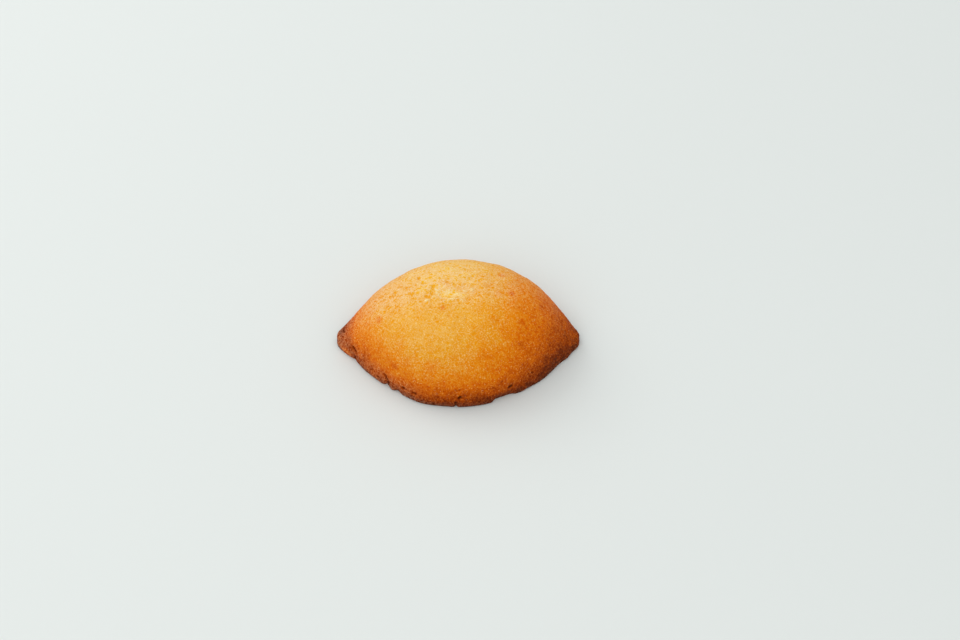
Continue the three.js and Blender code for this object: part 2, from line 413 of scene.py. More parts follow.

# Places that are browner, or paler with a negative strength, where butter or a bubble lay, and two
# paler ones at the foot of the left nub, which are painted light bounced up from below, each as X,
# the angle round the section, radius and strength.
PATCHES = [
    (-4.9, 80, 0.8, 0.26),
    (-4.6, 79.5, 1.8, 0.07),
    (-5.5, 75, 4.5, 0.04),
    (-3.5, 100, 1.4, 0.07),
    (14.5, 112, 1.1, 0.22),
    (17.7, 93, 1.1, 0.27),
    (19.5, 85, 3, 0.04),
    (12.8, 91, 1.3, 0.1),
    (27.3, 89, 1.1, 0.09),
    (20.9, 67, 1.2, 0.09),
    (14.4, 63, 1.2, 0.08),
    (20.6, 46, 1.6, 0.12),
    (8.6, 43, 2.6, 0.08),
    (-8.6, 34, 2.1, 0.14),
    (-20.4, 29, 1.5, 0.18),
    (-25.8, 77, 1.1, 0.2),
    (-30, 77, 1, 0.1),
    (-18.7, 51, 1.2, 0.08),
    (-24, 85, 2.6, -0.06),
    (-11.7, 96, 1.4, -0.06),
    (13.1, 55, 3, -0.06),
    (10.2, 23, 3, -0.06),
    (-20.4, 20, 3.5, -0.07),
    (-13.8, 29, 2.5, -0.05),
    (-39, 98, 1.3, 0.12),
    (-37.5, 20, 1.6, -0.12),
    (11, 88, 4.5, -0.05),
    (31, 84, 3, -0.05),
    (-1.5, 12, 1.8, 0.05),
    (30, 8, 4, 0.05),
    (4, 12, 4, 0.06),
    (-1, 98, 9, -0.03),
    (7, 118, 8, -0.05),
    (-5, 60, 14, -0.035),
    (19.5, 52, 5, 0.04),
    (-30, 45, 4, 0.05),
    (29, 88, 4, 0.03),
    (26, 22, 9, 0.01),
    (13.5, 72, 5, -0.03),
    (-19.5, 66, 5, -0.03),
    (-6, 42, 7, -0.02),
    # Paler at the foot of the left nub: painted light bounced up from below.
    (-38.7, 5, 1.8, -0.2),
    (-36.3, 4, 1.8, -0.2),
]

# The photograph's frame, and where the middle of the cake's flat side lies in it.
FRAME_PIXELS = (960, 640)
CAKE_PIXEL = (458.213, 341.717)
SENSOR_WIDTH = 36.0

# The stage, in metres: the floor, whose level part and rings are shares of its radius, and the
# soft lights, whose powers are on the sidebar.
FLOOR = {
    "radius": 3.0,
    "rise": 1.0,
    "level": 1 / 3,
    "inner_rings": (0.0, 0.1, 0.2),
    "outer_rings": 24,
    "sides": 96,
}
Lamp = namedtuple("Lamp", "name direction distance size")
LAMPS = [
    Lamp("window", (-0.62, 0.5, 0.6), 1.0, (0.8, 0.6)),
    Lamp("reflector", (-0.3, -0.6, 0.74), 1.2, (1.2, 1.0)),
]
LAMP_COLOUR = (1.0, 0.99, 0.97)


def bell(t):
    """1 at t = 0, falling to nothing past about t = 2 on each side."""
    return np.exp(-t * t)


def hump(value, middle, half):
    """A bell round a middle place, with the given half width."""
    return bell((value - middle) / half)


def step(t):
    """0 for very negative t, 1 for large t, with a soft change round 0."""
    return 0.5 * (1 + np.tanh(t))


def rising(value, low, high):
    """0 below low, 1 above high, and a smooth S between them."""
    t = np.clip((value - low) / (high - low), 0, 1)
    return t * t * (3 - 2 * t)


def blend(a, b):
    """The greater of two lengths, rounded off where they are alike."""
    return (a**BLEND_POWER + b**BLEND_POWER) ** (1 / BLEND_POWER)


def ripples(points, wavelength, seed, waves=40):
    """A smooth random field round 0, mostly within -2 and 2: the sum of sine waves of about
    one wavelength, in random directions and phases, over the square root of half their number."""
    draw = np.random.default_rng(seed)
    direction = draw.normal(size=(waves, 3))
    direction /= np.linalg.norm(direction, axis=1, keepdims=True)
    turns = 2 * math.pi / (wavelength * draw.uniform(*WAVE_SPREAD, waves))
    phase = draw.uniform(0, 2 * math.pi, waves)
    field = np.sin(points @ (direction * turns[:, None]).T + phase)
    return field.sum(axis=-1) / math.sqrt(waves / 2)


def uneven(points, parts, seed=0):
    """The sum of some ripples, whose seeds count from the given one."""
    return sum(amount * ripples(points, length, seed + own) for amount, length, own in parts)


def scattered(cell, seed):
    """Four random numbers from 0 to 1 for each whole-numbered cell, the same every run."""
    mixed = np.full(cell.shape[:-1], seed, np.uint64)
    for axis, prime in enumerate(CELL_PRIMES):
        mixed ^= cell[..., axis].astype(np.uint64) * np.uint64(prime)
    numbers = []
    for _ in range(4):
        mixed = mixed * np.uint64(MIX_FACTOR) + np.uint64(MIX_TERM)
        numbers.append((mixed >> np.uint64(64 - KEPT_BITS)).astype(float) / 2**KEPT_BITS)
    return np.stack(numbers, axis=-1)


def pits(points, spacing, radius, share, seed, stretch):
    """How deep each point lies in scattered pits, from 0 to 1. Space is cut into cubes of the
    given spacing, each holds one pit's centre at random, share says which part of them is
    there at a place, and a pit is a bell round its centre, longer along a stretched axis."""
    scaled = points / (np.array(stretch) * spacing)
    home = np.floor(scaled).astype(np.int64)
    depth = np.zeros(points.shape[:-1])
    for offset in itertools.product((-1, 0, 1), repeat=3):
        cell = home + np.array(offset)
        draw = scattered(cell, seed)
        gap = np.linalg.norm(scaled - cell - draw[..., :3], axis=-1) * spacing
        size = radius * (PIT_LEAST + PIT_SPREAD * draw[..., 3])
        here = (draw[..., 3] * PIT_PICK) % 1 < share
        depth = np.maximum(depth, np.where(here, bell(gap / size), 0))
    return depth


Form = namedtuple("Form", "length width height rim_radius nub_reach nub_height")
Crumb = namedtuple("Crumb", "grain relief pore seed")


def fullness(form, x, law):
    """1 at the middle and 0 at the tips: (1 - place ** power) ** bend, with place from 0 to 1
    along the half length and its start moved by lean."""
    u = x / (form.length / 2)
    place = np.abs(u + law["lean"] * (1 - u * u))
    return np.maximum(0, 1 - place ** law["power"]) ** law["bend"]


def necking(x):
    """How far the sides draw in at the neck, less how far they swell at the shoulder."""
    return sum(r["depth"] * hump(np.abs(x), r["at"], r["half"]) for r in (NECK, SHOULDER))


def half_width(form, x, nose):
    """Half the width of the flat side: the body's or the nub's, less the neck."""
    body = blend(form.width / 2 * fullness(form, x, OUTLINE), form.nub_reach)
    return (body - necking(x)) * nose


def ridge_height(form, x, nose):
    """The height of the ridge: the body's or the nub's, less the neck."""
    body = blend(form.height * fullness(form, x, RIDGE), form.nub_height)
    return body * nose**NUB_RISE - necking(x) * nose


def edge_radius(form, x, nose):
    """The rounding of the edge, which is less where the section is small."""
    smaller = np.minimum(half_width(form, x, nose), ridge_height(form, x, nose))
    return np.minimum(form.rim_radius, MOST_ROUNDED * smaller)


def waviness(form, x, nose, angle):
    """Long waves along X, each also going 1, 2 or 3 half turns over the dome, as a share of
    the distance from the middle line."""
    total = 0
    for k in range(1, WAVES["count"] + 1):
        along = (WAVES["fewest"] + k) * x / form.length
        over = np.cos((1 + k % 3) * angle + k)
        total = total + np.sin(2 * math.pi * along + k * WAVES["turn"]) * over
    return WAVES["share"] * total * nose


def dent(marks, chip, x, z):
    """How far a side is dented inwards: each mark is a bell along X times a bell in height,
    and the chip is a step in, a step out and a bell in height."""
    depth = sum(deep * hump(x, at, half) * bell(z / rise) for at, half, deep, rise in marks)
    if chip:
        length = step((x - chip["start"]) / chip["sharp"]) * step((chip["end"] - x) / chip["soft"])
        depth = depth + chip["depth"] * length * bell(z / chip["rise"])
    return depth


def dome(form, x, nose, angle):
    """Y and Z on the dome: half a superellipse, -width * cos(angle) and height * sin(angle)
    with both raised to 2 / power, then dented at the rim and hollowed on top."""
    edge = edge_radius(form, x, nose)
    full = 1 + waviness(form, x, nose, angle)
    across = np.cos(angle)
    power = 2 / SECTION_POWER
    width = half_width(form, x, nose) * full
    y = -width * np.sign(across) * np.abs(across) ** power
    rise = np.clip(np.sin(angle), 0, 1) ** power
    z = edge + (ridge_height(form, x, nose) - edge) * full * rise
    hold = (y / width) ** 2 * np.minimum(1, width / MARKS_FADE_UNDER)
    inward = np.where(y < 0, dent(FRONT_MARKS, FRONT_CHIP, x, z), -dent(BACK_MARKS, None, x, z))
    y = y + inward * hold
    peel = PEEL_HOLLOW
    hollow = hump(x, peel["x"], peel["half_x"]) * hump(y, peel["y"], peel["half_y"])
    return y, z - peel["depth"] * hollow


def stations(form):
    """Places along X, and how much of the width is left at each: even steps along the body,
    then equal turns round each nub, whose plan is a superellipse."""
    body = form.length / 2 - form.nub_reach
    turns = np.linspace(0, math.pi / 2, NUB_STEPS, endpoint=False)[1:]
    reach = body + form.nub_reach * np.sin(turns) ** (2 / NUB_PLAN)
    left = np.cos(turns) ** (2 / NUB_PLAN)
    middle = np.linspace(-body, body, BODY_STEPS + 1)
    x = np.concatenate([-reach[::-1], middle, reach])
    nose = np.concatenate([left[::-1], np.ones_like(middle), left])
    return x[:, None], nose[:, None]


def cake_grid(form):
    """The smooth form as rings of points, one ring a station. A ring goes along the flat side
    to the front, up round the edge, over the dome, and back along the flat side from behind.
    Also gives how far each point is on the dome: 1 there, 0 on the flat side."""
    x, nose = stations(form)
    angle = np.linspace(0, math.pi, DOME_STEPS + 1)[None, :]
    over_y, over_z = dome(form, x, nose, angle)
    edge = edge_radius(form, x, nose)
    share = np.arange(FLAT_STEPS)[None, :] / FLAT_STEPS
    turn = np.arange(EDGE_STEPS)[None, :] / EDGE_STEPS * math.pi / 2
    sides = []
    for foot in (over_y[:, :1], over_y[:, -1:]):
        inner = foot - np.sign(foot) * edge
        flat_y = inner * share
        round_y = inner + np.sign(foot) * edge * np.sin(turn)
        round_z = edge * (1 - np.cos(turn))
        sides.append((np.hstack([flat_y, round_y]), np.hstack([0 * flat_y, round_z])))
    (front_y, front_z), (back_y, back_z) = sides
    y = np.hstack([front_y, over_y, back_y[:, :0:-1]])
    z = np.hstack([front_z, over_z, back_z[:, :0:-1]])
    on_dome = np.hstack([0 * front_y, 0 * over_y + 1, 0 * back_y[:, 1:]])
    return np.stack([np.broadcast_to(x, y.shape), y, z], axis=-1), on_dome


def outward(grid):
    """Unit normals: the cross product of the grid's steps along X and round the section."""
    along = np.gradient(grid, axis=0)
    around = np.roll(grid, -1, axis=1) - np.roll(grid, 1, axis=1)
    normal = np.cross(along, around)
    return normal / np.maximum(np.linalg.norm(normal, axis=-1, keepdims=True), TINY)


def on_form(form, x, degrees):
    """The point of the dome at a place along X and an angle round the section."""
    at, whole = np.array([[float(x)]]), np.ones((1, 1))
    y, z = dome(form, at, whole, np.radians([[float(degrees)]]))
    return np.array([x, y[0, 0], z[0, 0]])


def near_path(points, path, half):
    """1 on a line through the places, falling off as a bell of the distance over half."""
    nearest = np.full(points.shape[:-1], np.inf)
    for start, end in zip(path[:-1], path[1:]):
        line = end - start
        along = np.clip((points - start) @ line / max(line @ line, TINY), 0, 1)
        gap = np.linalg.norm(points - start - along[..., None] * line, axis=-1)
        nearest = np.minimum(nearest, gap)
    return bell(nearest / half)


def grooved(form, points):
    """The depth of all the named grooves and ridges, which wander a little sideways."""
    aside = [ripples(points, WANDER["length"], seed, WANDER["waves"]) for seed in WANDER["seeds"]]
    moved = points + WANDER["amount"] * np.stack(aside, axis=-1)
    depth = np.zeros(points.shape[:-1])
    for path, half, deep in GROOVES:
        line = [on_form(form, x, degrees) for x, degrees in path]
        depth += deep * near_path(moved, line, half)
    return depth


def peel_mask(points):
    """1 in the pale band on top, where the skin came away, with a ragged edge."""
    x, y = points[..., 0], points[..., 1]
    p = PEEL_BAND
    band = hump(x, p["x"], p["half_x"]) * hump(y - p["slant"] * x, p["y"], p["half_y"])
    ragged = p["ragged"] * uneven(points, PEEL_EDGE) * hump(x, p["x"], p["ragged_half"])
    return rising(band + ragged, *p["edge"])


def crumb_field(points, crumb):
    """The baked crumb, from about -1 in its gaps to 1 on its grains: worm-like grains where a
    random field is near 0, with finer unevenness over them."""
    c = CRUMB_FIELD
    worms = hump(ripples(points, crumb.grain, crumb.seed), 0, c["worm_half"])
    finer = ripples(points, c["finer_length"] * crumb.grain, crumb.seed + 1)
    return c["worms"] * (worms - c["worm_mean"]) + c["finer"] * finer


def pore_share(points):
    """Which part of the possible pores is open: most on top, many low at the front and at the
    right end, few elsewhere."""
    x, y, z = np.moveaxis(points, -1, 0)
    at = PORE_PLACES
    above = rising(z, *at["above"]) * rising(y, *at["behind"])
    above *= 1 - PORES["less_at_right"] * rising(x, *at["right"])
    share = PORES["everywhere"] + PORES["above"] * above + PORES["low"] * hump(z, *at["low_band"])
    return share + PORES["right_end"] * rising(x, *at["right_end"])


def wrinkles(points):
    """Fine folds that run round the section, at the right end and faintly at the left."""
    x = points[..., 0]
    folds = np.sin(2 * math.pi * (x / FOLDS["spacing"] + uneven(points, FOLD_SWAY)))
    left = FOLDS["left_share"] * rising(-x, *FOLDS["left"])
    return folds * (rising(x, *FOLDS["right"]) + left)


def relief(form, points, crumb):
    """How far the skin stands out from the smooth form, in millimetres, and how hollow each
    place is, from 0 to about 2, or below 0 on a ridge."""
    r = RELIEF
    rough_rim = hump(points[..., 2], *r["rim_band"])
    peel = peel_mask(points)
    rougher = 1 + r["rim_rougher"] * rough_rim + r["peel_rougher"] * peel
    out = crumb.relief * rougher * crumb_field(points, crumb)
    out += uneven(points, SWELLINGS, crumb.seed)
    out += rough_rim * uneven(points, RIM_SWELLINGS, crumb.seed)
    out += r["folds"] * wrinkles(points) - r["peel_depth"] * peel
    grooves = grooved(form, points)
    out -= grooves
    hollow = grooves / r["groove_as_hollow"]
    share = pore_share(points)
    for size in PIT_SIZES:
        radius, seed = size.radius * crumb.pore, crumb.seed + size.seed
        depth = pits(points, size.spacing, radius, size.share * share, seed, size.stretch)
        out -= size.depth * depth
        hollow += size.hollow * depth
    return out, np.clip(hollow, *r["hollow_limits"])


def toast(form, points, hollow):
    """How browned the skin is. It falls off exponentially with height and rises towards the
    right end and on the left nub. It is less at the left rim, the right nub and in the peeled
    band, and less behind, which is painted sheen of the light from behind. PATCHES add to it or
    take from it. Hollows are browner, which is painted shade."""
    x, y, z = np.moveaxis(points, -1, 0)
    b, at = BROWNING, BROWNING_PLACES
    level = b["high_up"] + (b["at_floor"] - b["high_up"]) * np.exp(-z / b["fall"])
    level -= b["left_rim"] * rising(-x, *at["left_rim"]) * hump(z, *at["left_rim_band"])
    right = b["right_end"] * rising(x, *at["right_end"])
    right -= b["right_nub"] * rising(x, *at["right_nub"])
    level += right * (1 - level)
    # Paler behind: painted sheen of the light from behind.
    level -= b["back"] * rising(y, *at["back"])
    level += b["left_nub"] * rising(-x, *at["left_nub"])
    crest = hump(x, *at["left_crest_band_x"]) * rising(y, *at["left_crest_behind"])
    level += b["left_crest"] * crest
    level -= b["peel"] * peel_mask(points)
    for along, angle, radius, strength in PATCHES:
        far = np.linalg.norm(points - on_form(form, along, angle), axis=-1)
        level += strength * bell(far / radius)
    level += uneven(points, PATCHY_BROWNING) - b["folds"] * wrinkles(points)
    level += hump(z, *at["patchy_rim_band"]) * uneven(points, PATCHY_RIM)
    # Hollows are browner: painted shade.
    return level + (b["painted_pit_shade_above"] + b["painted_pit_shade_low"] * hump(z, *at["painted_pit_shade_band"])) * hollow


def film(points, hollow):
    """How much painted sheen lies on the skin, a pale veil that stands in for the reflection of the
    light:
    most behind and above at the left, less at the right and near the left end, a little at the crown,
    the right end, the front, the left tip and along the rim, and none in hollows."""
    x, y, z = np.moveaxis(points, -1, 0)
    f, at = PAINTED_SHEEN, PAINTED_SHEEN_PLACES
    most = f["left"] + (f["right"] - f["left"]) * rising(x, *at["right"])
    amount = most * (1 - f["off_left_end"] * rising(-x, *at["off_left_end"]))
    amount *= 1 - rising(x - PAINTED_SHEEN_SLANT * y, *at["slanted_right"])
    amount *= rising(y, *at["behind"]) * rising(z, *at["above"])
    amount *= 1 - f["off_back"] * rising(y, *at["off_back"])
    amount += f["front"] * rising(-x, *at["front_to_left"]) * rising(z, *at["front_above"])
    amount += f["front_left"] * rising(-x, *at["front_left"]) * hump(z, *at["front_left_band"])
    amount += f["crown"] * hump(x, *at["crown_band_x"]) * hump(y, *at["crown_band_y"])
    right = rising(x, *at["right_end"]) * (1 - rising(x, *at["right_tip"]))
    amount += f["right_end"] * right * rising(y, *at["right_end_behind"])
    amount += f["left_tip"] * rising(-x, *at["left_tip"])
    rim = f["rim"] * (1 - f["off_rim_right"] * rising(x, *at["off_rim_right"]))
    amount += rim * hump(z, *at["rim_band"])
    patchy = f["patchy"] + f["patchy_rim"] * hump(z, *at["patchy_band"])
    whole = np.clip(1 + patchy * uneven(points, PATCHY_PAINTED_SHEEN) - hollow, 0, 2)
    return amount * whole * (1 - f["off_peel"] * peel_mask(points))


def cake_surface(form, crumb):
    """The finished grid of points, and the fields that the material reads on it."""
    smooth, on_dome = cake_grid(form)
    out, hollow = relief(form, smooth, crumb)
    points = smooth + outward(smooth) * (out * on_dome)[..., None]
    points[..., 2] = np.maximum(points[..., 2], 0)
    hollow = hollow * on_dome
    fields = {
        "toast": toast(form, smooth, hollow),
        # This field is painted sheen, a pale veil that stands in for the reflection of the light.
        "film": film(smooth, hollow) * on_dome,
        "hollow": np.clip(hollow, 0, 2),
        "flake": np.clip(-hollow, 0, 1) * rising(smooth[..., 2], *FLAKES_ABOVE),
        "pores": pore_share(smooth) * on_dome,
    }
    return points, fields


def closed_mesh(name, grid, fields):
    """A mesh of the rings of points, joined by quads and closed by a fan at each end, with
    each field as an attribute of its points."""
    rings, around, _ = grid.shape
    number = np.arange(rings * around).reshape(rings, around)
    beyond = np.roll(number, -1, axis=1)
    quads = np.stack([number[:-1], number[1:], beyond[1:], beyond[:-1]], axis=-1).reshape(-1, 4)
    ends = rings * around + np.arange(2)
    first = np.stack([np.full(around, ends[0]), number[0], beyond[0]], axis=-1)
    last = np.stack([np.full(around, ends[1]), beyond[-1], number[-1]], axis=-1)
    points = np.concatenate([grid.reshape(-1, 3), grid[[0, -1]].mean(axis=1)])
    mesh = bpy.data.meshes.new(name)
    mesh.from_pydata((points * MM).tolist(), [], quads.tolist() + first.tolist() + last.tolist())
    mesh.shade_smooth()
    for field_name, values in fields.items():
        column = np.concatenate([values.ravel(), values[[0, -1]].mean(axis=1)])
        attribute = mesh.attributes.new(field_name, "FLOAT", "POINT")
        attribute.data.foreach_set("value", column.astype(np.float32))
    return mesh


def linear(hex_colour):
    """The linear red, green and blue of an sRGB hex colour."""
    parts = [int(hex_colour[i : i + 2], 16) / 255 for i in (1, 3, 5)]
    return tuple(p / 12.92 if p <= 0.04045 else ((p + 0.055) / 1.055) ** 2.4 for p in parts)


def add_node(tree, kind, inputs=None, stops=(), **settings):
    """Adds a shader node, sets its properties, and gives each input a value or a link. stops
    are the places and colours of a colour ramp, which starts with two."""
    made = tree.nodes.new("ShaderNode" + kind)
    for name, value in settings.items():
        setattr(made, name, value)
    for name, value in (inputs or {}).items():
        if isinstance(value, bpy.types.NodeSocket):
            tree.links.new(value, made.inputs[name])
        else:
            made.inputs[name].default_value = value
    for i, (place, colour) in enumerate(stops):
        element = made.color_ramp.elements[i] if i < 2 else made.color_ramp.elements.new(place)
        element.position = place
        element.color = (*colour, 1)
    return made


def mixed(tree, amount, first, second, blending="MIX"):
    """The second colour over the first, or times it, by an amount. A Mix node lists its sockets
    by kind, and the colours are numbers 6 and 7 of the inputs and 2 of the outputs."""
    mix = add_node(
        tree,
        "Mix",
        {0: amount, 6: first, 7: second},
        data_type="RGBA",
        clamp_factor=True,
        blend_type=blending,
    )
    return mix.outputs[2]


def sponge_material(colours):
    """Butter sponge, baked in a greased tin mould: a thin browned skin over an open crumb.
    The butter leaves it nearly matt; its sheen is painted into the colour as a pale veil. Fine pale
    grains, among them pale specks that are painted glints, stand out over gaps deepened by painted
    shade, and the toasting runs from straw yellow through orange to dark brown."""
    material = bpy.data.materials.new("baked_butter_sponge")
    material.use_nodes = True
    tree = material.node_tree
    tree.nodes.clear()
    place = add_node(tree, "TexCoord").outputs["Object"]

    def field(name):
        """One of the fields that the mesh carries."""
        return add_node(tree, "Attribute", attribute_name=name).outputs["Fac"]

    def noise(name, where=place):
        """Noise whose lumps are about the named size."""
        size, detail = NOISES[name]
        inputs = {"Vector": where, "Scale": 1 / (size * MM), "Detail": detail}
        return add_node(tree, "TexNoise", inputs).outputs["Fac"]

    def math_node(operation, first, second, third=0.0):
        inputs = {0: first, 1: second, 2: third}
        return add_node(tree, "Math", inputs, operation=operation).outputs[0]

    def times(first, second, added=0.0):
        """The first value times the second, with a third added."""
        return math_node("MULTIPLY_ADD", first, second, added)

    def ranged(value, name):
        """A value brought from its named range to 0 to 1 or the range given, with a smooth S."""
        limits = zip(("From Min", "From Max", "To Min", "To Max"), (*RANGES[name], 0.0, 1.0))
        inputs = {"Value": value, **dict(limits)}
        made = add_node(tree, "MapRange", inputs, interpolation_type="SMOOTHSTEP")
        return made.outputs["Result"]

    # Open crumb: pale threads lie across each other and leave deeper coloured gaps. A thread is
    # where a noise is near its middle value. Real threads are about 0.2 mm thick, drawn at
    # twice that so that they show. The fine noise breaks them up.
    off = 1.0
    for turn in THREAD_TURNS:
        drawn_out = {"Vector": place, "Rotation": turn, "Scale": (1, 1, 1 / GRAIN["thread_stretch"])}
        along = add_node(tree, "Mapping", drawn_out).outputs["Vector"]
        level = math_node("SUBTRACT", noise("thread", along), 0.5)
        off = math_node("MINIMUM", math_node("ABSOLUTE", level, 0.0), off)
    thread, between = ranged(off, "thread"), ranged(off, "between")
    fine = noise("fine")
    broken = times(thread, ranged(fine, "broken"))

    # Small open pores: balls round the points of a cell pattern, kept in part of the cells.
    drawn_out = {"Vector": place, "Scale": (1 / GRAIN["pore_stretch"], 1, 1)}
    along = add_node(tree, "Mapping", drawn_out).outputs["Vector"]
    cell_inputs = {"Vector": along, "Scale": 1 / (GRAIN["pore"] * MM)}
    cells = add_node(tree, "TexVoronoi", cell_inputs).outputs
    drawn = add_node(tree, "SeparateColor", {"Color": cells["Color"]}).outputs["Red"]
    is_open = math_node("LESS_THAN", drawn, field("pores"))
    pore = times(ranged(cells["Distance"], "pore"), is_open)

    # The browning varies with each pattern round the pattern's mean, on dark skin the most.
    toasted, hollow = field("toast"), field("hollow")
    dark, off_rim = ranged(toasted, "dark"), ranged(toasted, "off_rim")
    patterns = {
        "fine": fine,
        "blotch": noise("blotch"),
        "mottle": times(noise("mottle"), dark),
        "thread": times(broken, dark),
        "between": times(between, dark),
    }
    # Pores are browner: painted shade.
    browned = times(pore, GRAIN["painted_pore_shade"], toasted)
    for name, pattern in patterns.items():
        amount, mean = LESS_BROWN[name]
        browned = times(pattern, -amount, math_node("ADD", browned, mean * amount))
    ramp = [(at, tuple(getattr(colours, name))) for at, name in COLOUR_PLACES.items()]
    skin = add_node(tree, "ValToRGB", {"Fac": browned}, stops=ramp).outputs["Color"]

    # Light that comes out of a gap has met the crumb more than once, which deepens its colour.
    gap = times(between, GRAIN["gap_between"])
    gap = times(pore, GRAIN["gap_pore"], gap)
    gap = times(hollow, GRAIN["gap_hollow"], gap)
    skin = mixed(tree, gap, skin, (*colours.gap, 1), "MULTIPLY")
    # Painted sheen: a pale veil that stands in for the reflection of the light, missing in gaps and
    # pores.
    cover = math_node("SUBTRACT", ranged(fine, "cover"), math_node("ADD", between, pore))
    skin = mixed(tree, times(field("film"), cover), skin, (*colours.film, 1))

    # The threads are pale on light skin and golden on dark skin, and faint at the rim.
    less = GRAIN["thread_on_dark"] - GRAIN["thread_on_light"]
    strength = times(dark, less, GRAIN["thread_on_light"])
    pale = times(broken, times(strength, off_rim))
    thread_colour = mixed(tree, dark, (*colours.grain, 1), (*colours.straw, 1))
    skin = mixed(tree, math_node("SUBTRACT", pale, pore), skin, thread_colour)

    # The peaks of the fine noise are pale specks, painted glints on the crumb, rarer on dark skin,
    # and flakes are paler yet.
    peaks = times(dark, -GRAIN["painted_glint_rarer"], fine)
    strength = times(off_rim, GRAIN["painted_glint"])
    painted_glint = times(ranged(peaks, "painted_glint"), strength)
    pale = math_node("MAXIMUM", math_node("SUBTRACT", painted_glint, pore), 0.0)
    flake = times(field("flake"), ranged(fine, "flake"))
    pale = times(flake, GRAIN["flake"], pale)
    skin = mixed(tree, pale, skin, (*colours.grain, 1))

    lumps = math_node("ADD", fine, thread)
    height = math_node("SUBTRACT", lumps, times(pore, GRAIN["pore_bump"]))
    bump = {"Height": height, "Strength": 1.0, "Distance": GRAIN["bump"] * MM}
    looks = {
        "Base Color": skin,
        "Roughness": ranged(fine, "gloss"),
        "Normal": add_node(tree, "Bump", bump).outputs["Normal"],
        "IOR": SPONGE_IOR,
        "Specular IOR Level": SPONGE_SPECULAR,
    }
    shader = add_node(tree, "BsdfPrincipled", looks).outputs["BSDF"]
    add_node(tree, "OutputMaterial", {"Surface": shader})
    return material


def board_material(colours):
    """Matt painted board, rolled on: one even colour with no gloss to speak of."""
    material = bpy.data.materials.new("matt_board")
    material.use_nodes = True
    shader = material.node_tree.nodes["Principled BSDF"]
    shader.inputs["Base Color"].default_value = (*colours.floor, 1)
    shader.inputs["Roughness"].default_value = BOARD_ROUGHNESS
    return material


def floor_mesh():
    """A round floor whose outer part curves up: a profile turned about Z, level in the middle
    and then rising with the square of the distance."""
    level = FLOOR["level"]
    out = np.concatenate([FLOOR["inner_rings"], np.linspace(level, 1, FLOOR["outer_rings"])])
    up = FLOOR["rise"] * np.clip((out - level) / (1 - level), 0, None) ** 2
    turn = np.linspace(0, 2 * math.pi, FLOOR["sides"], endpoint=False)
    reach = FLOOR["radius"] * out[1:, None]
    x, y = reach * np.cos(turn), reach * np.sin(turn)
    z = np.broadcast_to(up[1:, None], x.shape)
    points = np.concatenate([[[0.0, 0.0, 0.0]], np.stack([x, y, z], axis=-1).reshape(-1, 3)])
    number = 1 + np.arange(x.size).reshape(x.shape)
    beyond = np.roll(number, -1, axis=1)
    quads = np.stack([number[:-1], number[1:], beyond[1:], beyond[:-1]], axis=-1).reshape(-1, 4)
    middle = np.stack([np.zeros(turn.size, int), number[0], beyond[0]], axis=-1)
    mesh = bpy.data.meshes.new("floor")
    mesh.from_pydata(points.tolist(), [], quads.tolist() + middle.tolist())
    mesh.shade_smooth()
    return mesh


def add_object(name, data):
    made = bpy.data.objects.new(name, data)
    bpy.context.scene.collection.objects.link(made)
    return made


def area_light(lamp, power):
    """A soft rectangular light that looks at the cake from its direction."""
    light = bpy.data.lights.new(lamp.name, "AREA")
    light.shape = "RECTANGLE"
    light.size, light.size_y = lamp.size
    light.energy = power
    light.color = LAMP_COLOUR
    made = add_object(lamp.name, light)
    towards = Vector(lamp.direction).normalized()
    made.location = towards * lamp.distance
    made.rotation_euler = (-towards).to_track_quat("-Z", "Y").to_euler()
    made.visible_camera = False


def place_camera(stage):
    """A camera that looks down at the pitch and stands the given distance off, measured along
    its own axis, moved sideways so that the cake falls on its pixel."""
    lens_pixels = stage.lens / SENSOR_WIDTH * FRAME_PIXELS[0]
    aside = (CAKE_PIXEL[0] - FRAME_PIXELS[0] / 2) / lens_pixels * stage.distance
    below = (CAKE_PIXEL[1] - FRAME_PIXELS[1] / 2) / lens_pixels * stage.distance
    turn = Matrix.Rotation(math.pi / 2 - stage.pitch, 3, "X")
    camera = bpy.data.cameras.new("camera")
    camera.lens = stage.lens
    camera.sensor_width = SENSOR_WIDTH
    made = add_object("camera", camera)
    made.location = turn @ Vector((-aside, below, stage.distance))
    made.rotation_euler = turn.to_euler()
    bpy.context.scene.camera = made


def a_colour(name, description, default):
    """A colour on the sidebar, given as an sRGB hex colour."""
    return bpy.props.FloatVectorProperty(
        name=name, description=description, default=linear(default), subtype="COLOR", min=0, max=1
    )


def a_number(name, description, default, **more):
    """A number on the sidebar."""
    return bpy.props.FloatProperty(name=name, description=description, default=default, **more)


def a_length(name, description, millimetres):
    """A length on the sidebar, which shows it in metres."""
    return a_number(name, description, millimetres * MM, min=0, unit="LENGTH", precision=4)


class LemonCakeShape(bpy.types.PropertyGroup):
    """The sizes of the smooth form"""

    length: a_length("Length", "From tip to tip", 80.8)
    width: a_length("Width", "Across the middle of the flat side", 54.8)
    height: a_length("Height", "From the flat side to the ridge", 25.4)
    rim_radius: a_length("Rim radius", "Rounding of the edge at the flat side", 0.8)
    nub_reach: a_length("Nub reach", "Length of the blunt nub at each end", 4.3)
    nub_height: a_length("Nub height", "Height of each nub", 4.5)


class LemonCakeCrumb(bpy.types.PropertyGroup):
    """The sizes of the crumb's relief"""

    grain: a_length("Grain", "Wavelength of the worm-like crumb", 1.9)
    relief: a_length("Relief", "How far the crumb stands out", 0.035)
    pore: a_length("Pore", "Radius of a small pore", 0.3)
    seed: bpy.props.IntProperty(name="Seed", description="Picks another crumb", default=11, min=0)


